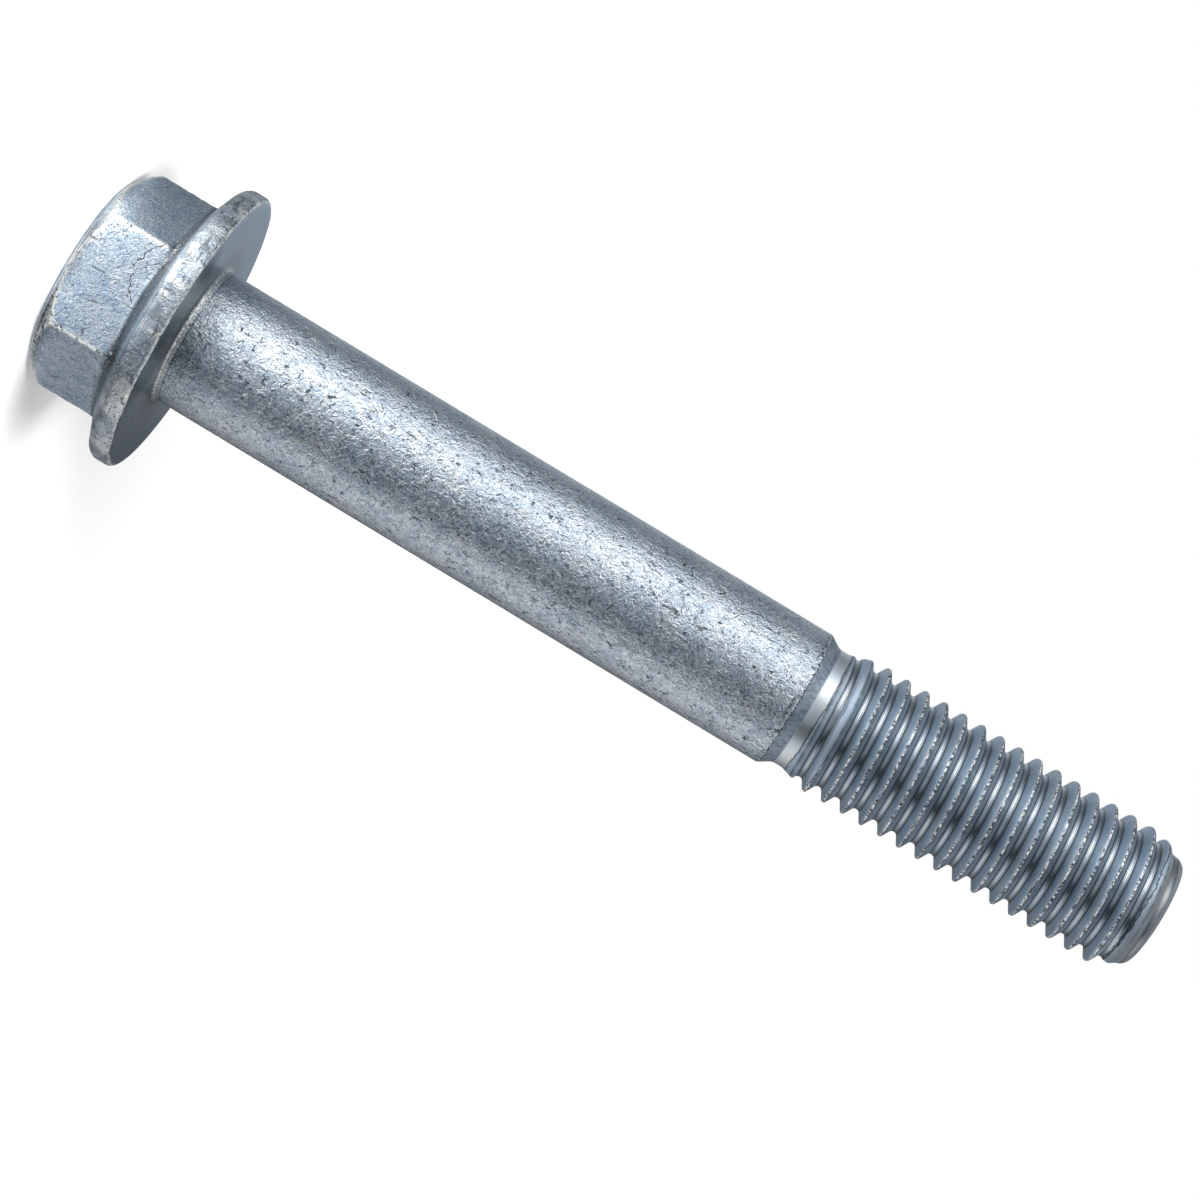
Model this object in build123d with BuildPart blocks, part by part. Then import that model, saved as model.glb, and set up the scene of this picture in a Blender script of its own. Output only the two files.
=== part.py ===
from build123d import *
import os
from math import atan, ceil, cos, degrees, radians, tan

# Hexagon flange bolt, M12 x 1.75 x 90, forged in one piece, with a plain shank and a rolled thread.
# It stands on its head: the origin is the centre of the head's top face, and +Z runs along the
# bolt's axis towards its point. Sizes are in millimetres and angles in degrees.

# Head
across_flats = 17.0
head_height = 10.0  # top face to bearing face, flange included
corner_radius = 0.35  # along the six corners of the hexagon
bevel_inset = 0.45  # flats to the edge of the round top face
bevel_angle = 38.0  # from the top face

# Flange
flange_width = 4.0  # beyond the flats
rim_thickness = 1.8
rim_radius = 0.8  # upper edge of the rim
rim_chamfer = 0.4  # edge of the bearing face
flange_slope = 24.0  # upper side of the flange, from the bearing plane
foot_radius = 0.6  # fillet where the hexagon meets the flange

# Shank
length = 90.0  # bearing face to point
grip_length = 56.5  # bearing face to the end of the full shank
shank_diameter = 11.85
underhead_radius = 0.5

# Thread, right-handed
thread_diameter = 11.95
thread_depth = 0.925  # crest to root
pitch = 1.75
flank_angle = 60.0  # between the two flanks
crest_width = 0.24
run_out_turns = 2  # whole turns over which the groove sinks to its full depth

# Neck, the bare rolling blank between the shank and the thread
neck_depth = 0.725  # below the thread crests
neck_length = 0.9
shoulder_angle = 32.0  # shank down to neck, from the axis
entry_angle = 17.0  # neck up to the thread crests, from the axis

# Point
point_depth = 1.425  # below the thread crests
point_angle = 29.0  # from the axis


def cone_height(first_diameter, last_diameter, angle):
    """Axial height of a cone between two diameters, whose side leans from the axis by an angle."""
    return abs(first_diameter - last_diameter) / 2 / tan(radians(angle))


# Diameters that follow
flange_diameter = across_flats + 2 * flange_width
bevel_face_diameter = across_flats - 2 * bevel_inset
neck_diameter = thread_diameter - 2 * neck_depth
root_diameter = thread_diameter - 2 * thread_depth
point_diameter = thread_diameter - 2 * point_depth

# Heights along the axis, from the top face of the head
rim_height = head_height - rim_thickness
shank_end = head_height + grip_length
neck_start = shank_end + cone_height(shank_diameter, neck_diameter, shoulder_angle)
neck_end = neck_start + neck_length
entry_end = neck_end + cone_height(neck_diameter, thread_diameter, entry_angle)
bolt_end = head_height + length
point_start = bolt_end - cone_height(thread_diameter, point_diameter, point_angle)

# The flange's sloping upper side runs on until it is well inside the hexagon.
flange_core_radius = across_flats / 2 - 2 * foot_radius
flange_core_height = rim_height - (flange_diameter / 2 - flange_core_radius) * tan(radians(flange_slope))

# Groove: its run-out starts just clear of the neck, next to the shoulder
groove_width = pitch - crest_width
groove_root_width = groove_width - 2 * thread_depth * tan(radians(flank_angle / 2))
groove_top = thread_depth + crest_width  # clear of the crests
run_out_height = run_out_turns * pitch
run_out_rise = thread_depth - neck_depth + 0.05
run_out_angle = degrees(atan(run_out_rise / run_out_height))
groove_start = neck_start + groove_width / 2 + run_out_height


with BuildSketch() as groove_profile:
    # X is outwards from the root of the groove, and Y runs across it
    with BuildLine():
        Polyline(
            (0, -groove_root_width / 2),
            (thread_depth, -groove_width / 2),
            (groove_top, -groove_width / 2),
            (groove_top, groove_width / 2),
            (thread_depth, groove_width / 2),
            (0, groove_root_width / 2),
            close=True,
        )
    make_face()


def across(path):
    """Plane square to the start of a helical path, with its X axis pointing away from the bolt's axis."""
    start = path @ 0
    return Plane(origin=start, x_dir=Vector(start.X, start.Y, 0), z_dir=path % 0)


with BuildPart() as flange_bolt:
    # Turned form: flange, shank, neck, and the blank that the thread is rolled in
    with BuildSketch(Plane.XZ) as turned_profile:
        with BuildLine():
            Polyline(
                (0, flange_core_height),
                (flange_core_radius, flange_core_height),
                (flange_diameter / 2, rim_height),
                (flange_diameter / 2, head_height),
                (shank_diameter / 2, head_height),
                (shank_diameter / 2, shank_end),
                (neck_diameter / 2, neck_start),
                (neck_diameter / 2, neck_end),
                (thread_diameter / 2, entry_end),
                (thread_diameter / 2, point_start),
                (point_diameter / 2, bolt_end),
                (0, bolt_end),
                close=True,
            )
        make_face()
        rim_corners = turned_profile.vertices().group_by(Axis.X)[-1].sort_by(Axis.Y)
        fillet(rim_corners[0], rim_radius)
        chamfer(rim_corners[1], rim_chamfer)
        underhead_corner = turned_profile.vertices().sort_by_distance((shank_diameter / 2, head_height))[0]
        fillet(underhead_corner, underhead_radius)
    revolve(axis=Axis.Z)

    # Hexagon with its six corners rounded
    with BuildSketch() as hexagon:
        RegularPolygon(across_flats / 2, 6, major_radius=False)
        fillet(hexagon.vertices(), corner_radius)
    extrude(amount=rim_height)
    foot_edges = flange_bolt.edges(Select.NEW)
    fillet(foot_edges, foot_radius)

    # Bevel round the top face: a cone that trims the corners
    with BuildSketch(Plane.XZ) as bevel_profile:
        with BuildLine():
            Polyline(
                (bevel_face_diameter / 2, 0),
                (across_flats, 0),
                (across_flats, (across_flats - bevel_face_diameter / 2) * tan(radians(bevel_angle))),
                close=True,
            )
        make_face()
    revolve(axis=Axis.Z, mode=Mode.SUBTRACT)

    # Thread groove: it sinks into the blank, then is cut turn by turn until it is past the point
    with BuildLine() as run_out_path:
        Helix(
            pitch / cos(radians(run_out_angle)),
            run_out_height,
            root_diameter / 2 + run_out_rise,
            center=(0, 0, groove_start - run_out_height),
            cone_angle=-run_out_angle,
        )
    with BuildSketch(across(run_out_path.line)):
        add(groove_profile.sketch)
    sweep(path=run_out_path.line, is_frenet=True, mode=Mode.SUBTRACT)
    for turn in range(ceil((bolt_end - groove_start) / pitch)):
        with BuildLine() as turn_path:
            Helix(pitch, pitch, root_diameter / 2, center=(0, 0, groove_start + turn * pitch))
        with BuildSketch(across(turn_path.line)):
            add(groove_profile.sketch)
        sweep(path=turn_path.line, is_frenet=True, mode=Mode.SUBTRACT)

flange_bolt.part.label = "flange_bolt"
os.makedirs("parts", exist_ok=True)
export_step(flange_bolt.part, "parts/flange_bolt.step")
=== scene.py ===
from math import cos, pi, radians, tan

import bpy
import numpy as np
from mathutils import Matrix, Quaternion, Vector, noise


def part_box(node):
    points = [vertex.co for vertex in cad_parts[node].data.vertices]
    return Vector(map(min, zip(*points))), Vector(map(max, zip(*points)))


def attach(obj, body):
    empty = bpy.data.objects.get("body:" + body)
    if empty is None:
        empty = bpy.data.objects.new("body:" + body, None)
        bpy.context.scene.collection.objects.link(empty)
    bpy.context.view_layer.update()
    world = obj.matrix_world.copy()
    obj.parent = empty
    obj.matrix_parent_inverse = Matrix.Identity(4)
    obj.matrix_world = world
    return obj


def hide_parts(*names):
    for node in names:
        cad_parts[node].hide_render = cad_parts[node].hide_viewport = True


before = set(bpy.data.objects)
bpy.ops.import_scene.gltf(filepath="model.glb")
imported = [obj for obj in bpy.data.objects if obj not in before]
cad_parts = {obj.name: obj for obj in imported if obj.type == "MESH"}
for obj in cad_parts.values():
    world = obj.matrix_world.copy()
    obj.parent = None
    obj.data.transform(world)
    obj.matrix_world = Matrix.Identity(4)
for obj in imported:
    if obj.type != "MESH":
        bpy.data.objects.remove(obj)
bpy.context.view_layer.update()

bl_info = {
    "name": "Hexagon Flange Bolt",
    "version": (1, 0, 0),
    "blender": (4, 5, 0),
    "location": "View3D > Sidebar > Flange Bolt",
    "description": "Zinc plated hexagon flange bolt with a rolled thread, and a studio to show it in",
    "category": "Add Mesh",
}

BOLT_LOW, BOLT_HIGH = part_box("flange_bolt")

# Values that several functions share, with distances in metres
SEAT_SEAM = 0.6  # share of the flange's radius where head and shank are joined on the bearing face
SHANK_STOPS = 0.0003  # up the neck, where the shank's outline ends
THREAD_STARTS = 0.0005  # up the neck, where the thread is trimmed to join it
HAIR = 0.00002  # a gap too narrow to be seen
TOUCH = 1e-6  # places nearer than this count as one
TRIANGLE_LIMIT = 200000


# ---------------------------------------------------------------- sizes and settings

class BoltSizes(bpy.types.PropertyGroup):
    """Sizes of the bolt, from the head's top face upwards. Lengths are in metres."""
    across_flats: bpy.props.FloatProperty(
        name="Across Flats", description="Spanner size of the hexagon", default=0.017, unit="LENGTH")
    head_height: bpy.props.FloatProperty(
        name="Head Height", description="Top face to bearing face", default=0.010, unit="LENGTH")
    corner_radius: bpy.props.FloatProperty(
        name="Corner Radius", description="Rounding of the hexagon's upright edges",
        default=0.00035, unit="LENGTH")
    bevel_inset: bpy.props.FloatProperty(
        name="Bevel Inset", description="Flats to the edge of the round top face",
        default=0.00045, unit="LENGTH")
    bevel_angle: bpy.props.FloatProperty(
        name="Bevel Angle", description="Bevel of the corners, from the top face",
        default=radians(38), subtype="ANGLE")
    flange_diameter: bpy.props.FloatProperty(
        name="Flange Diameter", description="Outside of the flange",
        default=BOLT_HIGH[0] - BOLT_LOW[0], unit="LENGTH")
    rim_thickness: bpy.props.FloatProperty(
        name="Rim Thickness", description="Height of the flange at its rim", default=0.0018, unit="LENGTH")
    flange_slope: bpy.props.FloatProperty(
        name="Flange Slope", description="Upper side of the flange, from the bearing plane",
        default=radians(24), subtype="ANGLE")
    foot_radius: bpy.props.FloatProperty(
        name="Foot Radius", description="Fillet between hexagon and flange", default=0.0006, unit="LENGTH")
    shank_diameter: bpy.props.FloatProperty(
        name="Shank Diameter", description="Plain shank", default=0.01185, unit="LENGTH")
    grip_length: bpy.props.FloatProperty(
        name="Grip Length", description="Bearing face to the end of the plain shank",
        default=0.0565, unit="LENGTH")
    shoulder_angle: bpy.props.FloatProperty(
        name="Shoulder Angle", description="Shank down to the neck, from the axis",
        default=radians(32), subtype="ANGLE")
    neck_diameter: bpy.props.FloatProperty(
        name="Neck Diameter", description="Bare blank before the thread", default=0.0105, unit="LENGTH")
    neck_length: bpy.props.FloatProperty(
        name="Neck Length", description="Straight part of the neck", default=0.0009, unit="LENGTH")
    entry_angle: bpy.props.FloatProperty(
        name="Entry Angle", description="Neck up to the thread crests, from the axis",
        default=radians(17), subtype="ANGLE")
    thread_diameter: bpy.props.FloatProperty(
        name="Thread Diameter", description="Over the crests", default=0.01195, unit="LENGTH")
    thread_depth: bpy.props.FloatProperty(
        name="Thread Depth", description="Crest to root", default=0.000925, unit="LENGTH")
    pitch: bpy.props.FloatProperty(
        name="Pitch", description="Crest to crest", default=0.00175, unit="LENGTH")
    crest_width: bpy.props.FloatProperty(
        name="Crest Width", description="Flat of the crest before it is rounded",
        default=0.00024, unit="LENGTH")
    run_out_turns: bpy.props.IntProperty(
        name="Run-out Turns", description="Turns over which the groove sinks to its full depth", default=2)
    point_diameter: bpy.props.FloatProperty(
        name="Point Diameter", description="Flat end of the bolt", default=0.0091, unit="LENGTH")
    point_angle: bpy.props.FloatProperty(
        name="Point Angle", description="Cone of the point, from the axis",
        default=radians(29), subtype="ANGLE")
    bolt_end: bpy.props.FloatProperty(
        name="Overall Length", description="Top face of the head to the point",
        default=BOLT_HIGH[2], unit="LENGTH")
    steps: bpy.props.IntProperty(
        name="Steps", description="Faces round the bolt, a multiple of twelve", default=192)


class BoltFinish(bpy.types.PropertyGroup):
    """Colours and wear of the plating."""
    zinc: bpy.props.FloatVectorProperty(
        name="Zinc", description="Clean plating", default=(0.65, 0.69, 0.73), size=3, subtype="COLOR")
    blue: bpy.props.FloatVectorProperty(
        name="Blue", description="Blue passivated patches",
        default=(0.35, 0.46, 0.57), size=3, subtype="COLOR")
    warm: bpy.props.FloatVectorProperty(
        name="Warm", description="Faint straw tint", default=(0.62, 0.57, 0.50), size=3, subtype="COLOR")
    # Rubbed bare metal, and also the colour of painted highlights on the lit sides of folds and on a ring at
    # the fillet under the head
    bare_and_highlight: bpy.props.FloatVectorProperty(
        name="Bare", description="Rubbed edges and crests",
        default=(0.90, 0.88, 0.82), size=3, subtype="COLOR")
    # Grime in pits and nicks, and also the colour of painted shade on folds, beside crests, on the shoulder,
    # in the foot fillet and next to the flange and the shank
    dirt_and_shade: bpy.props.FloatVectorProperty(
        name="Dirt", description="Grime in pits and nicks",
        default=(0.04, 0.045, 0.05), size=3, subtype="COLOR")
    # Old oil on the bearing face, and also the colour of a painted shadow across it towards X
    oil_and_shadow: bpy.props.FloatVectorProperty(
        name="Oil", description="Old oil on the bearing face",
        default=(0.02, 0.05, 0.06), size=3, subtype="COLOR")
    wear: bpy.props.FloatProperty(
        name="Wear", description="Depth of the dents and nicks", default=0.00012, unit="LENGTH")


class StudioSettings(bpy.types.PropertyGroup):
    """Camera and light."""
    camera_place: bpy.props.FloatVectorProperty(
        name="Camera", description="Place of the camera",
        default=(0.0, -0.2606, 0.0516), size=3, subtype="XYZ", unit="LENGTH")
    target: bpy.props.FloatVectorProperty(
        name="Target", description="Point that the camera looks at",
        default=(0.0013, 0.0, 0.0491), size=3, subtype="XYZ", unit="LENGTH")
    roll: bpy.props.FloatProperty(
        name="Roll", description="Turn of the camera about its own line of sight",
        default=radians(121.1), subtype="ANGLE")
    lens: bpy.props.FloatProperty(name="Lens", description="Focal length in millimetres", default=97.5)
    lamp_strength: bpy.props.FloatProperty(
        name="Lamp Strength", description="Light of the soft lamp on the floor", default=3.0)


# ---------------------------------------------------------------- modelling helpers

def pick(piece, test):
    """Goes into edit mode with only those vertices selected whose place passes the test."""
    bpy.ops.object.select_all(action="DESELECT")
    piece.select_set(True)
    bpy.context.view_layer.objects.active = piece
    bpy.ops.object.mode_set(mode="EDIT")
    bpy.ops.mesh.select_mode(type="VERT")
    bpy.ops.mesh.select_all(action="DESELECT")
    bpy.ops.object.mode_set(mode="OBJECT")
    for vertex in piece.data.vertices:
        vertex.select = test(vertex.co)
    bpy.ops.object.mode_set(mode="EDIT")
    bpy.ops.mesh.select_mode(type="VERT")


def draw_outline(name, points):
    """A line through points (radius, height), drawn by extruding one vertex from each point to the next."""
    bpy.ops.object.select_all(action="DESELECT")
    bpy.ops.mesh.primitive_plane_add(size=0.001)
    outline = bpy.context.object
    outline.name = name
    bpy.ops.object.mode_set(mode="EDIT")
    bpy.ops.mesh.select_all(action="SELECT")
    bpy.ops.mesh.merge(type="CENTER")
    bpy.ops.transform.translate(value=(points[0][0], 0, points[0][1]))
    for (radius, height), (next_radius, next_height) in zip(points, points[1:]):
        step = (next_radius - radius, 0, next_height - height)
        bpy.ops.mesh.extrude_vertices_move(TRANSFORM_OT_translate={"value": step})
    bpy.ops.object.mode_set(mode="OBJECT")
    return outline


def round_corner(outline, point, reach, segments):
    """Rounds one corner of an outline. The arc starts and ends at a distance from the corner."""
    corner = Vector((point[0], 0, point[1]))
    pick(outline, lambda place: (place - corner).length < TOUCH)
    bpy.ops.mesh.bevel(affect="VERTICES", offset=reach, segments=segments, profile=0.5)
    bpy.ops.object.mode_set(mode="OBJECT")


def divide(outline, first, last, cuts):
    """Divides the straight run between two of an outline's points."""
    ends = [Vector((point[0], 0, point[1])) for point in (first, last)]
    along = (ends[1] - ends[0]).normalized()
    reach = (ends[1] - ends[0]).length

    def on_run(place):
        offset = place - ends[0]
        distance = offset.dot(along)
        return -TOUCH < distance < reach + TOUCH and (offset - distance * along).length < TOUCH

    pick(outline, on_run)
    bpy.ops.mesh.subdivide(number_cuts=cuts)
    bpy.ops.object.mode_set(mode="OBJECT")


def refine(outline, corners, runs):
    """Rounds corners of an outline, each with its reach and its number of segments, and then divides
    straight runs, each from one point to another and with its number of cuts."""
    for corner, reach, segments in corners:
        round_corner(outline, corner, reach, segments)
    for first, last, cuts in runs:
        divide(outline, first, last, cuts)


def turn_outline(outline, steps, rise=0.0, turns=1):
    """Turns an outline about the bolt's axis, rising by a height in each turn, and closes its seams."""
    bpy.ops.object.select_all(action="DESELECT")
    outline.select_set(True)
    bpy.context.view_layer.objects.active = outline
    bpy.ops.object.modifier_add(type="SCREW")
    screw = outline.modifiers[-1]
    screw.axis = "Z"
    screw.angle = 2 * pi
    screw.steps = steps
    screw.render_steps = steps
    screw.screw_offset = rise
    screw.iterations = turns
    bpy.ops.object.modifier_apply(modifier=screw.name)
    bpy.ops.object.mode_set(mode="EDIT")
    bpy.ops.mesh.select_all(action="SELECT")
    bpy.ops.mesh.remove_doubles(threshold=2 * TOUCH)
    bpy.ops.object.mode_set(mode="OBJECT")


def trim(piece, height, keep_above):
    """Cuts a piece square across at a height, and keeps what is above or below."""
    pick(piece, lambda place: True)
    bpy.ops.mesh.bisect(
        plane_co=(0, 0, height), plane_no=(0, 0, 1), clear_inner=keep_above, clear_outer=not keep_above,
        threshold=TOUCH / 10)
    bpy.ops.object.mode_set(mode="OBJECT")


def faces_per_edge(piece):
    """How many faces each edge of a piece belongs to."""
    count = {}
    for face in piece.data.polygons:
        for key in face.edge_keys:
            count[key] = count.get(key, 0) + 1
    return count


def pick_open_edges(piece, test):
    """Goes into edit mode with only those open edges selected whose two ends pass the test."""
    count = faces_per_edge(piece)
    pick(piece, lambda place: False)
    bpy.ops.mesh.select_mode(type="EDGE")
    bpy.ops.object.mode_set(mode="OBJECT")
    for edge in piece.data.edges:
        ends = [piece.data.vertices[index] for index in edge.vertices]
        if count.get(edge.key) == 1 and all(test(end.co) for end in ends):
            edge.select = True
            for end in ends:
                end.select = True
    bpy.ops.object.mode_set(mode="EDIT")


def bridge(piece, height, radius, reach):
    """Joins the two open edges of a piece that lie within reach of a height and a radius."""
    def beside_gap(place):
        return abs(place.z - height) < reach and abs(place.xy.length - radius) < reach

    pick_open_edges(piece, beside_gap)
    bpy.ops.mesh.bridge_edge_loops()
    bpy.ops.object.mode_set(mode="OBJECT")


def read_points(piece, kind="co"):
    """The places of a piece's vertices, or their normals where kind is "normal", as an array of rows."""
    rows = np.empty(3 * len(piece.data.vertices))
    piece.data.vertices.foreach_get(kind, rows)
    return rows.reshape(-1, 3)


def write_points(piece, places):
    """Moves a piece's vertices to an array of places."""
    piece.data.vertices.foreach_set("co", places.ravel())
    piece.data.update()


def from_axis(places):
    """Distance of each place from the bolt's axis."""
    return np.hypot(places[:, 0], places[:, 1])


def about_axis(places):
    """Angle of each place about the bolt's axis, from X."""
    return np.arctan2(places[:, 1], places[:, 0])


def rough(places, scale, seed):
    """Smooth noise of about -1 to 1 at each place, with grains of about 1/scale metres."""
    shift = Vector((seed * 17.3, seed * 5.1, seed * 9.7))
    increment, lacunarity, octaves = 0.9, 2.0, 3
    return np.array([noise.fractal(Vector(place) * scale + shift, increment, lacunarity, octaves)
                     for place in places])


# ---------------------------------------------------------------- the bolt

def shank_end(sizes):
    """Height where the plain shank ends and the shoulder begins."""
    return sizes.head_height + sizes.grip_length


def neck_start(sizes):
    """Height where the shoulder ends and the neck begins."""
    return shank_end(sizes) + (sizes.shank_diameter - sizes.neck_diameter) / 2 / tan(sizes.shoulder_angle)


def first_crest(sizes):
    """Height, over the X axis, of the first thread crest past the run-out."""
    half_groove = (sizes.pitch - sizes.crest_width) / 2
    return neck_start(sizes) + half_groove + (sizes.run_out_turns + 0.5) * sizes.pitch


def flange_foot(sizes):
    """Height where the flange's slope meets the flats, and how far its fillet reaches from there."""
    rise = (sizes.flange_diameter - sizes.across_flats) / 2 * tan(sizes.flange_slope)
    reach = sizes.foot_radius * tan(pi / 4 - sizes.flange_slope / 2)
    return sizes.head_height - sizes.rim_thickness - rise, reach


def seat_seam(sizes):
    """Point of the outlines on the bearing face, where the head and the shank are joined."""
    return SEAT_SEAM * sizes.flange_diameter / 2, sizes.head_height


def from_corner(angle):
    """Angle between a direction and the nearest corner of the hexagon, which has corners on X."""
    return np.abs((angle + pi / 6) % (pi / 3) - pi / 6)


def hexagon_radius(angle, sizes):
    """Distance from the axis to the side of the hexagon with rounded corners."""
    turn = from_corner(angle)
    flat = sizes.across_flats / 2 / np.cos(pi / 6 - turn)
    centre = (sizes.across_flats / 2 - sizes.corner_radius) / cos(pi / 6)
    inside = np.maximum(sizes.corner_radius ** 2 - (centre * np.sin(turn)) ** 2, 0)
    rounded = centre * np.cos(turn) + np.sqrt(inside)
    tangent = np.arctan2(sizes.corner_radius / 2, centre + sizes.corner_radius * cos(pi / 6))
    return np.where(turn < tangent, rounded, flat)


def pull_out_hexagon(head, sizes):
    """Moves the turned head's side out to the hexagon. Bevel, foot fillet and flange slope go with it."""
    half = sizes.across_flats / 2
    slope = tan(sizes.flange_slope)
    foot_height, foot_reach = flange_foot(sizes)
    seat_edge = 0.0004  # height of the rounded edge of the bearing face, which stays as it is
    rim_edge = 0.0006  # width of the rounded edge on the other side of the rim, which does too
    gather = 0.1  # gathers the steps round the axis at the six corners, by up to this angle
    pull_grows = [half - 0.7 * sizes.bevel_inset, half - 0.22 * sizes.bevel_inset]
    pull_fades = [half + foot_reach, sizes.flange_diameter / 2 - rim_edge]
    places = read_points(head)
    radius = from_axis(places)
    height = places[:, 2]
    off_seat = height < sizes.head_height - seat_edge
    angle = about_axis(places)
    angle = angle - off_seat * gather * np.sin(6 * angle)
    pull = hexagon_radius(angle, sizes) - half
    on_bevel = np.interp(radius, pull_grows, [0, 1])
    on_slope = np.interp(radius, pull_fades, [1, 0])
    up_side = np.interp(height, [sizes.bevel_inset, foot_height - foot_reach], [0, 1])
    share = np.where(off_seat, on_bevel * on_slope, 0)
    places[:, 0] = (radius + share * pull) * np.cos(angle)
    places[:, 1] = (radius + share * pull) * np.sin(angle)
    places[:, 2] += share * pull * ((1 - up_side) * tan(sizes.bevel_angle) + up_side * slope)
    write_points(head, places)


def model_head(sizes):
    """Head and flange, open at the middle of the bearing face."""
    half = sizes.across_flats / 2
    outside = sizes.flange_diameter / 2
    foot_height, foot_reach = flange_foot(sizes)
    centre = (0.0, 0.0)
    top_edge = (half - sizes.bevel_inset, 0.0)
    crease = (half, sizes.bevel_inset * tan(sizes.bevel_angle))
    foot = (half, foot_height)
    rim_top = (outside, sizes.head_height - sizes.rim_thickness)
    rim_foot = (outside, sizes.head_height)
    seat = seat_seam(sizes)
    head = draw_outline("head", [centre, top_edge, crease, foot, rim_top, rim_foot, seat])
    refine(
        head,
        corners=[(top_edge, 0.00012, 2), (crease, 0.00010, 2), (foot, foot_reach, 6),
                 (rim_top, 0.00052, 5), (rim_foot, 0.00045, 4)],
        runs=[(centre, top_edge, 9), (crease, foot, 20), (foot, rim_top, 10), (rim_top, rim_foot, 4),
              (rim_foot, seat, 8)])
    turn_outline(head, sizes.steps)
    pull_out_hexagon(head, sizes)
    return head


def model_shank(sizes):
    """Plain shank with its fillet under the head, the shoulder, and the start of the neck."""
    shank_radius = sizes.shank_diameter / 2
    neck_radius = sizes.neck_diameter / 2
    seat = seat_seam(sizes)
    corner = (shank_radius, sizes.head_height)
    shoulder = (shank_radius, shank_end(sizes))
    neck = (neck_radius, neck_start(sizes))
    neck_end = (neck_radius, neck_start(sizes) + SHANK_STOPS)
    shank = draw_outline("shank", [seat, corner, shoulder, neck, neck_end])
    refine(
        shank,
        corners=[(corner, 0.0005, 5), (shoulder, 0.00010, 2), (neck, 0.00020, 3)],
        runs=[(seat, corner, 4), (corner, shoulder, 44), (shoulder, neck, 3)])
    turn_outline(shank, sizes.steps)
    return shank


def wind_ridge(sizes, flank_angle=radians(30), turns=20, turns_before=4):
    """One ridge of the thread wound up the blank. It starts some turns before the first full crest."""
    crest = sizes.thread_diameter / 2
    root = crest - sizes.thread_depth
    crest_half = sizes.crest_width / 2
    foot_half = crest_half + sizes.thread_depth * tan(flank_angle)
    middle = first_crest(sizes) - turns_before * sizes.pitch
    low = (root, middle - sizes.pitch / 2)
    low_foot = (root, middle - foot_half)
    low_crest = (crest, middle - crest_half)
    high_crest = (crest, middle + crest_half)
    high_foot = (root, middle + foot_half)
    high = (root, middle + sizes.pitch / 2)
    thread = draw_outline("thread", [low, low_foot, low_crest, high_crest, high_foot, high])
    refine(
        thread,
        corners=[(low_foot, 0.00014, 2), (low_crest, 0.00011, 3), (high_crest, 0.00011, 3),
                 (high_foot, 0.00014, 2)],
        runs=[(low_foot, low_crest, 2), (high_crest, high_foot, 2)])
    turn_outline(thread, sizes.steps, rise=sizes.pitch, turns=turns)
    return thread


def close_point(thread, sizes, cut):
    """Closes the thread, which is cut off square short of its end, with a rounded edge and a flat end."""
    end = sizes.point_diameter / 2
    # Radius of each ring, and its depth below the flat end
    rings = [(end + 0.00014, 0.00026), (end + 0.00003, 0.00013), (end - 0.00012, 0.00004),
             (end - 0.00030, 0), (0.72 * end, 0), (0.45 * end, 0), (0.2 * end, 0)]
    pick_open_edges(thread, lambda place: place.z > sizes.bolt_end - 2 * cut)
    last_radius = end + cut * tan(sizes.point_angle)
    last_depth = cut
    for radius, depth in rings:
        bpy.ops.mesh.extrude_edges_move(TRANSFORM_OT_translate={"value": (0, 0, last_depth - depth)})
        share = radius / last_radius
        bpy.ops.transform.resize(value=(share, share, 1), center_override=(0, 0, sizes.bolt_end))
        last_radius, last_depth = radius, depth
    bpy.ops.mesh.merge(type="CENTER")
    bpy.ops.object.mode_set(mode="OBJECT")


def model_thread(sizes):
    """Rolled thread: the ridge sinks into the neck at one end and is turned off to a cone at the other."""
    thread = wind_ridge(sizes)
    crest = sizes.thread_diameter / 2
    root = crest - sizes.thread_depth
    neck_foot = neck_start(sizes)
    sunk = sizes.neck_diameter / 2 - root + 0.00005  # the groove's root is lifted just clear of the neck
    run_out = [neck_foot + 0.0007, neck_foot + 0.0043]  # the groove reaches its full depth between these
    groove_left = 0.35  # share of the groove's depth that stays on the point's cone
    groove_ends = [sizes.bolt_end - 0.0014, sizes.bolt_end - 0.0005]
    least = root - 0.001  # reached only beyond the point, where the ridge is cut off
    point_cut = 0.0004

    places = read_points(thread)
    radius = from_axis(places)
    height = places[:, 2]
    entry_height = np.maximum(height - neck_foot - sizes.neck_length, 0)
    entry = sizes.neck_diameter / 2 + entry_height * tan(sizes.entry_angle)
    point = sizes.point_diameter / 2 + (sizes.bolt_end - height) * tan(sizes.point_angle)
    point -= groove_left * (crest - radius) * np.interp(height, groove_ends, [1, 0])
    rise = np.interp(height, run_out, [sunk, 0])
    wanted = np.minimum.reduce([radius + rise, entry, np.maximum(point, least)])
    places[:, :2] *= (wanted / radius)[:, None]
    write_points(thread, places)
    trim(thread, neck_foot + THREAD_STARTS, keep_above=True)
    trim(thread, sizes.bolt_end - point_cut, keep_above=False)
    close_point(thread, sizes, point_cut)
    return thread


def add_attribute(piece, name, values):
    """Keeps a number with each vertex of a piece, for its materials."""
    attribute = piece.data.attributes.new(name, "FLOAT", "POINT")
    attribute.data.foreach_set("value", values)


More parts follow.
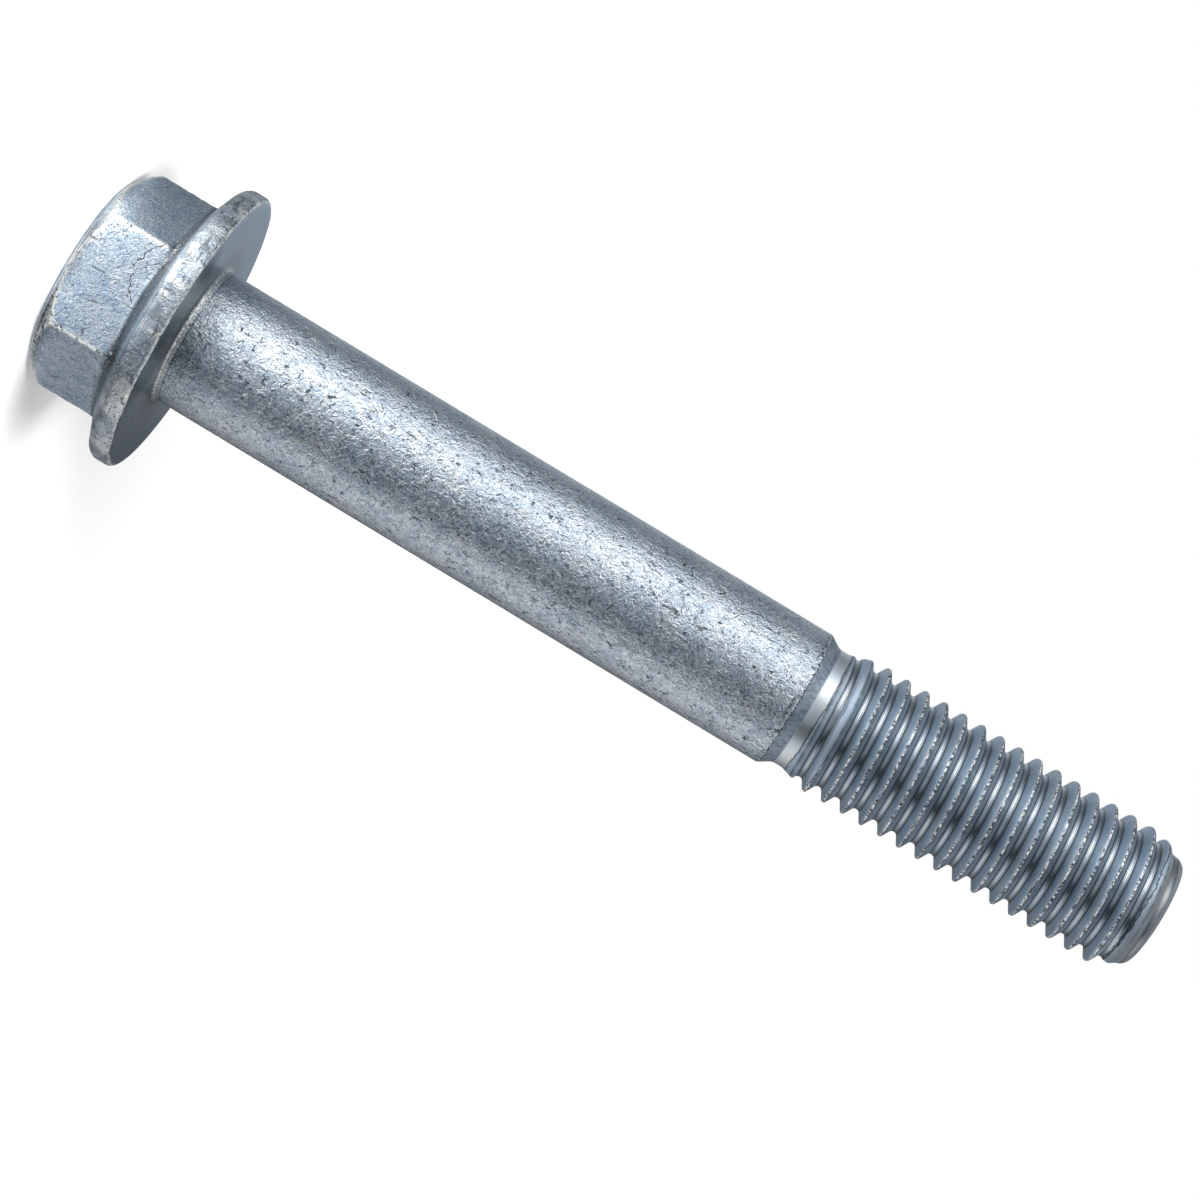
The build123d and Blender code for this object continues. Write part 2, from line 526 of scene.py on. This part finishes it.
def wear_edges(bolt, sizes, finish):
    """Dents the forged faces and the edges. Attributes keep how worn each place is, how much painted shade
    lies on the flank beside each thread crest towards the point, and how far across the thread the nearest
    crest is, in millimetres."""
    places = read_points(bolt)
    normals = read_points(bolt, "normal")
    radius = from_axis(places)
    angle = about_axis(places)
    height = places[:, 2]
    side = hexagon_radius(angle, sizes)
    outside = sizes.flange_diameter / 2
    crease = (side - sizes.across_flats / 2 + sizes.bevel_inset) * tan(sizes.bevel_angle)
    crest_radius = sizes.thread_diameter / 2
    thread_foot = neck_start(sizes) + sizes.neck_length + 0.0002
    on_thread = (height > thread_foot) * (height < sizes.bolt_end - 0.0003)
    off_seat = height < sizes.head_height - 0.0003  # all but the bearing face and its edge
    edge_inset = 0.00013  # from the corner between rim and bearing face to the middle of its rounding
    dent = 0.00002  # deepest hollow of the forged faces

    def near(distance, reach):
        """1 at no distance, and next to nothing beyond twice the reach."""
        return np.exp(-(distance / reach) ** 2)

    on_side = near(radius - side, 0.00025) * (height < 0.62 * sizes.head_height)
    upright = near(radius * from_corner(angle), 0.00018) * on_side
    bevel_edge = near(height - crease, 0.00014) * near(radius - side, 0.00025)
    from_edge = np.hypot(radius - outside + edge_inset, height - sizes.head_height + edge_inset)
    rim_edge = near(from_edge, 0.00022)
    rim = near(radius - outside, 0.0006) * off_seat
    shoulder = near(height - shank_end(sizes), 0.00012)
    crest = np.interp(radius, [crest_radius - 0.000045, crest_radius - 0.000005], [0, 1]) * on_thread
    worn = np.clip(upright + bevel_edge + rim_edge + 0.5 * rim + shoulder + crest, 0, 1)

    across = (height - first_crest(sizes) - sizes.pitch * angle / (2 * pi) + sizes.pitch / 2) % sizes.pitch
    across -= sizes.pitch / 2
    # Painted shade on the flank beside each crest, on the side towards the point
    seam = np.interp(across, [0.00001, 0.00009, 0.00028, 0.00048], [0, 1, 0.55, 0]) * on_thread

    chips = np.maximum(rough(places, 900, 1) - 0.10, 0) + 0.7 * np.maximum(rough(places, 2600, 2) - 0.05, 0)
    forged = np.where(off_seat, dent * np.maximum(rough(places, 350, 3), 0), 0)
    chipped = upright + bevel_edge + 0.6 * rim_edge + 0.35 * rim + 0.8 * shoulder + 0.2 * crest
    places -= (finish.wear * chips * chipped + forged)[:, None] * normals
    write_points(bolt, places)
    add_attribute(bolt, "worn", worn)
    add_attribute(bolt, "seam", seam)
    add_attribute(bolt, "across", 1000 * np.abs(across) * on_thread)


# ---------------------------------------------------------------- materials

class Wire:
    """One output of a node. An expression on wires and numbers adds its Math nodes."""

    def __init__(self, graph, socket):
        self.graph = graph
        self.socket = socket

    def math(self, operation, *values):
        """Adds a Math node on wires and numbers."""
        return self.graph.node("ShaderNodeMath", {"operation": operation}, dict(enumerate(values)))

    def __add__(self, other):
        return self.math("ADD", self, other)

    def __radd__(self, other):
        return self.math("ADD", other, self)

    def __sub__(self, other):
        return self.math("SUBTRACT", self, other)

    def __rsub__(self, other):
        return self.math("SUBTRACT", other, self)

    def __mul__(self, other):
        return self.math("MULTIPLY", self, other)

    def __rmul__(self, other):
        return self.math("MULTIPLY", other, self)

    def __truediv__(self, other):
        return self.math("DIVIDE", self, other)

    def __abs__(self):
        return self.math("ABSOLUTE", self)

    def __or__(self, other):
        """The larger of two masks."""
        return self.math("MAXIMUM", self, other)

    def above(self, low, high):
        """Goes smoothly from 0 to 1 as the wire goes from low to high, or back where low is the larger."""
        if low < high:
            sockets = {"Value": self, "From Min": low, "From Max": high}
        else:
            sockets = {"Value": self, "From Min": high, "From Max": low, "To Min": 1.0, "To Max": 0.0}
        return self.graph.node("ShaderNodeMapRange", {"interpolation_type": "SMOOTHSTEP"}, sockets)

    def within(self, low, high, soft):
        """1 between low and high, fading to 0 over a soft distance outside them."""
        return self.above(low - soft, low) * self.above(high + soft, high)


class Graph:
    """Node tree of a material or the world, with nothing in it to start with."""

    def __init__(self, tree):
        self.tree = tree
        tree.nodes.clear()

    def node(self, kind, settings=None, sockets=None, output=0):
        """Adds a node: its settings first, then a value or a wire for each named or numbered socket. The
        result is the wire of one output, where the node has any."""
        node = self.tree.nodes.new(kind)
        for name, value in (settings or {}).items():
            if name == "stops":
                self.set_stops(node.color_ramp, value)
            else:
                setattr(node, name, value)
        for name, value in (sockets or {}).items():
            if isinstance(value, Wire):
                self.tree.links.new(value.socket, node.inputs[name])
            else:
                node.inputs[name].default_value = value
        return Wire(self, node.outputs[output]) if len(node.outputs) else None

    def set_stops(self, ramp, stops):
        """Gives a ramp its stops, each a position and a grey level."""
        while len(ramp.elements) < len(stops):
            ramp.elements.new(1.0)
        for element, (position, level) in zip(ramp.elements, stops):
            element.position = position
            element.color = (level, level, level, 1.0)

    def place(self):
        """Place on the piece, in millimetres."""
        place = self.node("ShaderNodeTexCoord", output="Object")
        return self.node("ShaderNodeVectorMath", {"operation": "SCALE"}, {0: place, "Scale": 1000.0})

    def split(self, place):
        """The three coordinates of a place."""
        parts = self.node("ShaderNodeSeparateXYZ", {}, {"Vector": place})
        return [Wire(self, parts.socket.node.outputs[number]) for number in range(3)]

    def stretch(self, place, by):
        """A place with each coordinate multiplied by its own number."""
        return self.node("ShaderNodeVectorMath", {"operation": "MULTIPLY"}, {0: place, 1: by})

    def radius(self, place):
        """Distance from the bolt's axis."""
        flat = self.stretch(place, (1, 1, 0))
        return self.node("ShaderNodeVectorMath", {"operation": "LENGTH"}, {0: flat}, output="Value")

    def attribute(self, name):
        """Number that add_attribute kept with each vertex."""
        return self.node("ShaderNodeAttribute", {"attribute_name": name}, output="Fac")

    def noise(self, place, scale, detail=3.0, roughness=0.5, distortion=0.0):
        """Cloudy noise from 0 to 1, with grains of about 1/scale millimetres."""
        return self.node("ShaderNodeTexNoise", {}, {
            "Vector": place, "Scale": scale, "Detail": detail, "Roughness": roughness,
            "Distortion": distortion})

    def lines(self, distance, scale):
        """Noise that changes only with a distance: lines or rings of uneven width."""
        return self.node("ShaderNodeTexNoise", {"noise_dimensions": "1D"}, {
            "W": distance, "Scale": scale, "Detail": 3.0, "Roughness": 0.6})

    def folds(self, place, scale):
        """Sharp little folds of crumpled skin, 1 along their crests."""
        return 1 - 5 * abs(self.noise(place, scale, 2.5, 0.55, 1.3) - 0.5)

    def fold_light_and_shade(self, place, scale):
        """Two sides of fine folds, as if lit from one side: above 0 where painted light falls, and below 0
        where painted shade falls.
        """
        beside = self.node("ShaderNodeVectorMath", {"operation": "ADD"}, {0: place, 1: (0.07, -0.07, 0.05)})
        return self.folds(place, scale) - self.folds(beside, scale)

    def mix(self, share, first, second):
        """Colour between two colours, the second of them where the share is 1."""
        sockets = {"Factor": share, "A": first, "B": second}
        return self.node("ShaderNodeMix", {"data_type": "RGBA"}, sockets, output="Result")


def colour(value):
    """Colour property as a node socket takes it."""
    return (*value, 1.0)


def millimetres(size):
    """A size in millimetres, to the nearest tenth, for the patterns."""
    return round(1000 * size, 1)


def plated(name, sizes, finish, build):
    """Zinc plated steel. build adds its pattern and returns colour, roughness, the bump's height in mm, and
    how chalky the metal is."""
    material = bpy.data.materials.new(name)
    material.use_nodes = True
    graph = Graph(material.node_tree)
    tint, roughness, height, chalk = build(graph, graph.place(), sizes, finish)
    bump = graph.node("ShaderNodeBump", {}, {"Strength": 1.0, "Distance": 0.001, "Height": height})
    shader = graph.node("ShaderNodeBsdfPrincipled", {}, {
        "Base Color": tint, "Roughness": roughness, "Metallic": 1 - chalk, "Normal": bump})
    graph.node("ShaderNodeOutputMaterial", {}, {"Surface": shader})
    return material


def shank_pattern(graph, place, sizes, finish):
    """Crumpled and pitted skin of the shank, with fine turned rings next to the head."""
    seat = millimetres(sizes.head_height)
    end = millimetres(shank_end(sizes))
    z = graph.split(place)[2]
    mottle = graph.noise(place, 1.0, 4.0, 0.65)
    patches = graph.noise(place, 0.25, 2.0).above(0.40, 0.60)
    folds = graph.folds(place, 1.3)
    creases = graph.folds(place, 2.9)
    grain = graph.noise(place, 5.0, 2.0, 0.6)
    pits = graph.noise(place, 2.0, 4.0, 0.70, 0.8).above(0.62, 0.65)
    flecks = graph.noise(graph.stretch(place, (1.8, 1.8, 0.6)), 1.4, 3.5, 0.65, 0.6).above(0.635, 0.66)
    dark = pits | 0.85 * flecks
    rings = graph.lines(z, 5.0) * z.above(seat + 2.8, seat + 1.0)
    # Painted shade darkening the shank towards the flange, with dark turned rings next to the head
    head_shade_and_rings = z.above(seat + 5.0, seat + 0.6) * 0.3 | rings.above(0.50, 0.58) * 0.6
    edge = z.within(end - 0.35, end + 0.1, 0.1) * graph.noise(place, 2.4, 3.0, 0.7).above(0.50, 0.58)
    warm = graph.noise(place, 0.5, 4.0, 0.7).above(0.58, 0.70) * 0.5
    blue = patches * 0.25 + mottle.above(0.35, 0.70) * 0.5
    tint = graph.mix(blue, colour(finish.zinc), colour(finish.blue))
    tint = graph.mix(warm, tint, colour(finish.warm))
    # Painted light and shade on the folds: shaded sides and creases darkened, lit sides lightened, and a
    # painted highlight ring along the fillet under the head
    fold_light_and_shade = graph.fold_light_and_shade(place, 2.2)
    painted_shade = fold_light_and_shade.above(0.0, -0.8) * 0.7 | creases.above(0.3, 0.0) * 0.3
    tint = graph.mix(painted_shade, tint, colour(finish.dirt_and_shade))
    bare_and_highlight = fold_light_and_shade.above(0.1, 0.8) * 0.9 | 0.8 * z.within(seat + 0.2, seat + 0.3, 0.1)
    tint = graph.mix(bare_and_highlight, tint, colour(finish.bare_and_highlight))
    tint = graph.mix(dark * 0.9 | head_shade_and_rings | 0.8 * edge, tint, colour(finish.dirt_and_shade))
    roughness = 0.16 + 0.14 * mottle + 0.10 * grain
    height = 0.030 * folds + 0.014 * creases + 0.08 * mottle + 0.014 * grain - 0.05 * dark + 0.03 * rings
    return tint, roughness, height, 0.0


def crack(graph, place, sizes):
    """Thin forked crack in the skin of the flat that faces -Y."""
    flat = millimetres(sizes.across_flats / 2)
    x, y, z = graph.split(place)
    wobble = 0.5 * (graph.noise(place, 1.4, 3.0, 0.7) - 0.5)
    bend = x + 2.4
    trunk = abs(z - 4.85 - 0.17 * bend * bend + 2.0 * wobble)
    fork = abs(z - 3.2 + 0.9 * x + 1.6 * wobble)
    broken = graph.noise(place, 1.7, 3.0, 0.7).above(0.36, 0.48)
    trunk_line = trunk.above(0.06, 0.02) * x.within(-4.8, 0.2, 0.3)
    fork_line = fork.above(0.05, 0.01) * x.within(-3.4, -1.9, 0.3)
    return (trunk_line | fork_line) * broken * y.above(0.5 - flat, 0.2 - flat)


def head_pattern(graph, place, sizes, finish):
    """Forged and plated hexagon and flange, with bright worn edges and dark nicks."""
    seat = millimetres(sizes.head_height)
    rim = millimetres(sizes.head_height - sizes.rim_thickness)
    outside = millimetres(sizes.flange_diameter / 2)
    worn = graph.attribute("worn")
    z = graph.split(place)[2]
    mottle = graph.noise(place, 0.9, 4.0, 0.65)
    folds = graph.folds(place, 1.5)
    creases = graph.folds(place, 2.9)
    grain = graph.noise(place, 5.0, 2.0, 0.6)
    pits = graph.noise(place, 2.1, 4.0, 0.70, 0.8).above(0.645, 0.68)
    scratches = graph.noise(graph.stretch(place, (2.0, 2.0, 0.5)), 1.1, 3.5, 0.65, 0.5).above(0.635, 0.66)
    on_rim = z.within(rim - 0.3, seat - 0.2, 0.2) * graph.radius(place).above(outside - 1.2, outside - 0.5)
    streaks = graph.noise(graph.stretch(place, (0.5, 0.5, 2.2)), 1.0, 3.5, 0.6, 0.9)
    stains = graph.noise(graph.stretch(place, (1.0, 1.0, 0.4)), 0.5, 3.0, 0.6, 0.3)
    rim_nicks = on_rim * (streaks.above(0.60, 0.63) | 0.6 * stains.above(0.52, 0.68))
    rubbed = worn * graph.noise(place, 2.0, 3.0, 0.7).above(0.38, 0.46) * (1 - 0.8 * on_rim)
    bright = rubbed | 0.7 * on_rim * stains.above(0.52, 0.40)
    edge_nicks = worn.above(0.3, 0.7) * graph.noise(place, 3.0, 3.0, 0.7, 0.6).above(0.58, 0.63)
    dark = 0.8 * pits | 0.6 * scratches | edge_nicks | 0.7 * rim_nicks | crack(graph, place, sizes)
    tint = graph.mix(0.4 + mottle.above(0.35, 0.70) * 0.6, colour(finish.zinc), colour(finish.blue))
    # Painted shade in the foot fillet between the hexagon and the flange
    foot = z.within(rim - 1.5, rim - 0.9, 0.6)
    under_edge = z.above(seat - 0.40, seat - 0.28) * graph.noise(place, 1.6, 3.0, 0.7).above(0.35, 0.55)
    # Painted light and shade on the folds: shaded sides and creases darkened, lit sides lightened
    fold_light_and_shade = graph.fold_light_and_shade(place, 2.2)
    painted_shade = fold_light_and_shade.above(0.0, -0.8) * 0.6 | creases.above(0.3, 0.0) * 0.3
    tint = graph.mix(painted_shade | 0.85 * foot | 0.6 * under_edge | 0.35 * on_rim, tint, colour(finish.dirt_and_shade))
    tint = graph.mix(fold_light_and_shade.above(0.1, 0.8) * 0.7, tint, colour(finish.bare_and_highlight))
    tint = graph.mix(bright * 0.85, tint, colour(finish.bare_and_highlight))
    tint = graph.mix(dark * 0.9, tint, colour(finish.dirt_and_shade))
    roughness = 0.24 + 0.14 * mottle + 0.10 * grain
    height = 0.020 * folds + 0.012 * creases + 0.07 * mottle + 0.012 * grain - 0.05 * dark
    return tint, roughness, height, 0.85 * rubbed * (1 - dark)


def thread_pattern(graph, place, sizes, finish):
    """Satin rolled flanks, rolling lines along the roots, and broken crests with painted shade beside them.
    The worn shoulder, with painted shade on it, the neck and the point are finished here too."""
    start = millimetres(shank_end(sizes))
    end = millimetres(sizes.bolt_end)
    worn = graph.attribute("worn")
    across = graph.attribute("across")
    mottle = graph.noise(place, 0.6, 3.0, 0.6)
    grain = graph.noise(place, 5.0, 2.0, 0.6)
    z = graph.split(place)[2]
    root = across.above(0.50, 0.62)
    trough = across.above(0.60, 0.68)
    neck = z.within(start + 1.25, start + 2.2, 0.1)
    shoulder = z.within(start + 0.1, start + 1.1, 0.1)
    point = z.above(end - 2.0, end - 1.2)
    ragged = abs(z - (end - 1.55) + 0.7 * graph.noise(place, 1.1, 4.0, 0.7)).above(0.10, 0.03)
    lip = abs(z - (start + 2.45) + 0.5 * graph.noise(place, 0.9, 4.0, 0.7)).above(0.10, 0.04)
    lines = graph.lines(across + 0.02 * mottle, 9.0)
    broken = graph.noise(graph.stretch(place, (1.0, 1.0, 0.4)), 3.2, 3.0, 0.7)
    dashes = worn.above(0.7, 1.0) * broken.above(0.44, 0.52)
    nicks = worn.above(0.2, 0.6) * graph.noise(place, 4.0, 2.0, 0.7).above(0.50, 0.54)
    # Painted shade beside each crest, on the flank towards the point
    painted_shade = graph.attribute("seam") * (0.5 + 0.5 * graph.noise(place, 1.2, 3.0, 0.6).above(0.3, 0.6))
    blue = 0.45 + 0.4 * mottle.above(0.3, 0.7) - 0.4 * root
    tint = graph.mix(blue, colour(finish.zinc), colour(finish.blue))
    tint = graph.mix(root * lines.above(0.62, 0.48) * 0.8, tint, colour(finish.dirt_and_shade))
    # Painted shade darkening the shoulder, broken by mottling
    shoulder_shade = shoulder * (0.4 + 0.25 * broken.above(0.44, 0.62))
    tint = graph.mix(0.4 * point * mottle.above(0.35, 0.60), tint, colour(finish.warm))
    tint = graph.mix(painted_shade * 0.8 | shoulder_shade | 0.45 * point, tint, colour(finish.dirt_and_shade))
    tint = graph.mix(dashes | neck * (0.25 + 0.35 * mottle.above(0.35, 0.60)), tint, colour(finish.bare_and_highlight))
    tint = graph.mix(nicks * 0.9 | 0.7 * lip | 0.8 * ragged, tint, colour(finish.dirt_and_shade))
    roughness = 0.46 + 0.10 * mottle + 0.06 * grain - 0.16 * root - 0.20 * (trough + neck - point)
    height = 0.006 * mottle + 0.003 * grain + 0.02 * root * lines - 0.04 * nicks
    return tint, roughness, height, 0.5 * dashes * (1 - nicks)


def seat_pattern(graph, place, sizes, finish):
    """Smooth bearing face with faint turned rings, a patch of old oil towards -Y, a painted shadow towards X
    and painted shade next to the shank.
    """
    outside = millimetres(sizes.flange_diameter / 2)
    x, y = graph.split(place)[:2]
    mottle = graph.noise(place, 0.5, 3.0, 0.6)
    radius = graph.radius(place)
    rings = graph.lines(radius, 1.6)
    across = (x - 0.8) / 7.0
    out = (y + (outside - 3.2)) / 4.0
    patch = (across * across + out * out + 1.2 * (mottle - 0.5)).above(1.6, 0.3)
    # An oil patch towards -Y, and a painted shadow across the face towards X
    oil_and_shadow = patch | x.above(2.0, outside - 1.5) * 0.45
    tint = graph.mix(0.6 + 0.4 * mottle, colour(finish.zinc), colour(finish.blue))
    tint = graph.mix(rings.above(0.50, 0.66) * 0.35, tint, colour(finish.warm))
    rubbed = radius.within(6.6, 7.6, 0.8) * mottle.above(0.4, 0.6)
    tint = graph.mix(rubbed * 0.4, tint, colour(finish.warm))
    # Painted shade darkening the bearing face towards the shank
    shade_round_shank = radius.above(9.0, 6.2)
    tint = graph.mix(shade_round_shank * 0.3, tint, colour(finish.dirt_and_shade))
    tint = graph.mix(0.78 * oil_and_shadow, tint, colour(finish.oil_and_shadow))
    roughness = 0.22 + 0.10 * mottle + 0.06 * rings
    return tint, roughness, 0.006 * rings + 0.006 * mottle, 0.0


def seen_directly(graph):
    """1 for what the eye sees, also by reflection or through glass, and 0 for light that falls on things."""
    names = ("Is Camera Ray", "Is Glossy Ray", "Is Transmission Ray")
    camera, glossy, transmission = [graph.node("ShaderNodeLightPath", output=name) for name in names]
    return camera | glossy | transmission


# ---------------------------------------------------------------- operators

class MESH_OT_flange_bolt(bpy.types.Operator):
    """Model the flange bolt in one piece and plate it"""
    bl_idname = "mesh.flange_bolt"
    bl_label = "Flange Bolt"

    def execute(self, context):
        sizes = context.scene.bolt_sizes
        finish = context.scene.bolt_finish
        parts = [model_head(sizes), model_shank(sizes), model_thread(sizes)]
        bpy.ops.object.select_all(action="DESELECT")
        for part in parts:
            part.select_set(True)
        context.view_layer.objects.active = parts[0]
        bpy.ops.object.join()
        bolt = context.object
        bolt.name = "bolt"
        bolt.data.name = "bolt"
        neck_seam = neck_start(sizes) + (SHANK_STOPS + THREAD_STARTS) / 2
        bridge(bolt, neck_seam, sizes.neck_diameter / 2, THREAD_STARTS - SHANK_STOPS)
        pick(bolt, lambda place: True)
        bpy.ops.mesh.remove_doubles(threshold=TOUCH)
        bpy.ops.mesh.normals_make_consistent(inside=False)
        bpy.ops.object.mode_set(mode="OBJECT")
        wear_edges(bolt, sizes, finish)
        self.plate(bolt, sizes, finish)
        bpy.ops.object.shade_smooth_by_angle(angle=radians(40))
        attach(bolt, "root")
        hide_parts("flange_bolt")
        self.test(bolt)
        return {"FINISHED"}

    def plate(self, bolt, sizes, finish):
        """Gives the head, the bearing face, the shank and the thread their own finishes, in this order."""
        for name, pattern in [("forged head zinc", head_pattern), ("bearing face zinc", seat_pattern),
                              ("shank zinc", shank_pattern), ("rolled thread zinc", thread_pattern)]:
            bolt.data.materials.append(plated(name, sizes, finish, pattern))
        starts = [sizes.head_height - HAIR, sizes.head_height + HAIR, shank_end(sizes)]
        for face in bolt.data.polygons:
            height = face.center.z
            face.material_index = sum(height > start for start in starts)

    def test(self, bolt):
        """Raises an error unless the bolt is closed and light enough."""
        triangles = sum(len(face.vertices) - 2 for face in bolt.data.polygons)
        open_edges = sum(1 for count in faces_per_edge(bolt).values() if count != 2)
        print("bolt triangles", triangles, "open edges", open_edges)
        if open_edges or triangles >= TRIANGLE_LIMIT:
            raise RuntimeError("the bolt is open or too heavy")


class SCENE_OT_bolt_studio(bpy.types.Operator):
    """Set up the floor, the soft light and the camera"""
    bl_idname = "scene.bolt_studio"
    bl_label = "Bolt Studio"

    def execute(self, context):
        settings = context.scene.bolt_studio
        context.scene.view_settings.view_transform = "Standard"
        self.floor()
        self.tent()
        self.world(context.scene)
        self.lamp(settings)
        self.camera(context.scene, settings)
        return {"FINISHED"}

    def floor(self):
        """Pale floor a hair under the head, so that the two faces never lie in one plane."""
        bpy.ops.object.select_all(action="DESELECT")
        bpy.ops.mesh.primitive_plane_add(size=3.0, location=(0, 0, -HAIR))
        floor = bpy.context.object
        floor.name = "studio_floor"
        material = bpy.data.materials.new("pale floor")
        material.use_nodes = True
        graph = Graph(material.node_tree)
        shader = graph.node("ShaderNodeBsdfPrincipled", {}, {
            "Base Color": (0.92, 0.92, 0.92, 1.0), "Roughness": 0.9, "Specular IOR Level": 0.0,
            "Emission Color": (1.0, 1.0, 1.0, 1.0), "Emission Strength": 0.17 * seen_directly(graph)})
        graph.node("ShaderNodeOutputMaterial", {}, {"Surface": shader})
        floor.data.materials.append(material)

    def tent(self):
        """Round light tent with brighter and darker upright bands and a grey roof, seen only in the metal.
        Its tray covers the floor. It is brighter before the head, darker beside it and dark under it."""
        half = 0.18  # of the tent's height
        tray_gap = 0.0003  # between the floor and the tray
        bpy.ops.object.select_all(action="DESELECT")
        bpy.ops.mesh.primitive_cylinder_add(
            vertices=96, radius=0.20, depth=2 * half, location=(0, 0, half + tray_gap), end_fill_type="NGON")
        tent = bpy.context.object
        tent.name = "studio_tent"
        tent.visible_camera = False
        tent.visible_shadow = False
        tent.visible_diffuse = False
        material = bpy.data.materials.new("tent cloth")
        material.use_nodes = True
        graph = Graph(material.node_tree)
        place = graph.place()
        across, depth, height = graph.split(place)
        turn = across.math("ARCTAN2", across, depth * -1.0)  # 0 towards -Y, and above 0 towards X
        bands = [(-180, 0.16), (-174, 0.19), (-165, 0.30), (-145, 0.24), (-128, 0.13), (-104, 0.12),
                 (-90, 0.19), (-78, 0.33), (-66, 0.55), (-55, 0.96), (-45, 1.00), (-35, 0.96), (-26, 0.47),
                 (-15, 0.24), (0, 0.18), (12, 0.22), (22, 0.14), (32, 0.02), (50, 0.02), (60, 0.18),
                 (74, 0.41), (104, 0.41), (124, 0.22), (150, 0.08), (176, 0.06), (180, 0.16)]
        stops = [((angle + 180) / 360, level) for angle, level in bands]
        level = graph.node("ShaderNodeValToRGB", {"stops": stops}, {"Fac": turn * (1 / (2 * pi)) + 0.5})
        radius = graph.radius(place)
        end = 1000 * half
        roof = height.above(end - 1.0, end - 0.5)
        tray = height.above(1.0 - end, 0.5 - end)
        in_front = abs(turn).above(radians(60), radians(25)) * radius.above(72.0, 58.0)
        level = roof * 0.25 + (1 - roof) * level * (1 + 0.9 * height.above(20.0, 80.0))
        under_head = 0.25 + 0.75 * radius.above(9.2, 10.4) + 0.5 * radius.within(10.4, 13.0, 1.5)
        beside = turn.above(0.8, 1.4) * radius.above(48.0, 38.0)
        level = level * under_head * (1 + tray * (1.7 * in_front - 0.10 - 0.45 * beside))
        cloth = graph.mix(level, (0.86, 0.97, 1.10, 1.0), (1.0, 1.0, 1.0, 1.0))
        cloth = graph.mix(turn.above(0.9, 1.3) * 0.35, cloth, (1.06, 0.98, 0.94, 1.0))
        glow = graph.node("ShaderNodeEmission", {}, {"Color": cloth, "Strength": 2.2 * level})
        graph.node("ShaderNodeOutputMaterial", {}, {"Surface": glow})
        tent.data.materials.append(material)

    def world(self, scene):
        """White to the eye and in the metal, and a plain soft light on everything else."""
        world = bpy.data.worlds.new("studio white")
        scene.world = world
        world.use_nodes = True
        graph = Graph(world.node_tree)
        level = 0.5 + 0.5 * seen_directly(graph)
        background = graph.node("ShaderNodeBackground", {}, {
            "Color": (1.0, 1.0, 1.0, 1.0), "Strength": level})
        graph.node("ShaderNodeOutputWorld", {}, {"Surface": background})

    def lamp(self, settings):
        """One soft lamp from behind the camera, whose shadow falls back and to the side."""
        bpy.ops.object.light_add(type="SUN", location=(-0.1, -0.5, 0.4))
        lamp = bpy.context.object
        lamp.name = "soft_lamp"
        lamp.data.angle = radians(22)
        lamp.data.energy = settings.lamp_strength
        lamp.visible_glossy = False
        lamp.rotation_euler = (-lamp.location).to_track_quat("-Z", "Y").to_euler()

    def camera(self, scene, settings):
        """Camera at about half the bolt's height, rolled so that the bolt lies across the picture."""
        place = Vector(settings.camera_place)
        aim = (Vector(settings.target) - place).to_track_quat("-Z", "Y")
        turned = aim @ Quaternion((0, 0, 1), settings.roll)
        bpy.ops.object.camera_add(location=place, rotation=turned.to_euler())
        camera = bpy.context.object
        camera.name = "studio_camera"
        camera.data.lens = settings.lens
        camera.data.sensor_width = 36.0
        camera.data.clip_start = 0.01
        scene.camera = camera


class VIEW3D_PT_flange_bolt(bpy.types.Panel):
    """Flange bolt tools"""
    bl_label = "Flange Bolt"
    bl_space_type = "VIEW_3D"
    bl_region_type = "UI"
    bl_category = "Flange Bolt"

    def draw(self, context):
        layout = self.layout
        layout.operator(MESH_OT_flange_bolt.bl_idname)
        layout.operator(SCENE_OT_bolt_studio.bl_idname)
        for settings in (context.scene.bolt_sizes, context.scene.bolt_finish, context.scene.bolt_studio):
            box = layout.box()
            for name in settings.__annotations__:
                box.prop(settings, name)


CLASSES = (BoltSizes, BoltFinish, StudioSettings, MESH_OT_flange_bolt, SCENE_OT_bolt_studio,
           VIEW3D_PT_flange_bolt)


def register():
    """Adds the classes, and the settings to every scene."""
    for item in CLASSES:
        bpy.utils.register_class(item)
    bpy.types.Scene.bolt_sizes = bpy.props.PointerProperty(type=BoltSizes)
    bpy.types.Scene.bolt_finish = bpy.props.PointerProperty(type=BoltFinish)
    bpy.types.Scene.bolt_studio = bpy.props.PointerProperty(type=StudioSettings)


def unregister():
    """Takes away what register added."""
    del bpy.types.Scene.bolt_sizes
    del bpy.types.Scene.bolt_finish
    del bpy.types.Scene.bolt_studio
    for item in reversed(CLASSES):
        bpy.utils.unregister_class(item)


def main():
    """Adds the bolt and its studio."""
    register()
    bpy.ops.mesh.flange_bolt()
    bpy.ops.scene.bolt_studio()


if __name__ == "__main__":
    main()
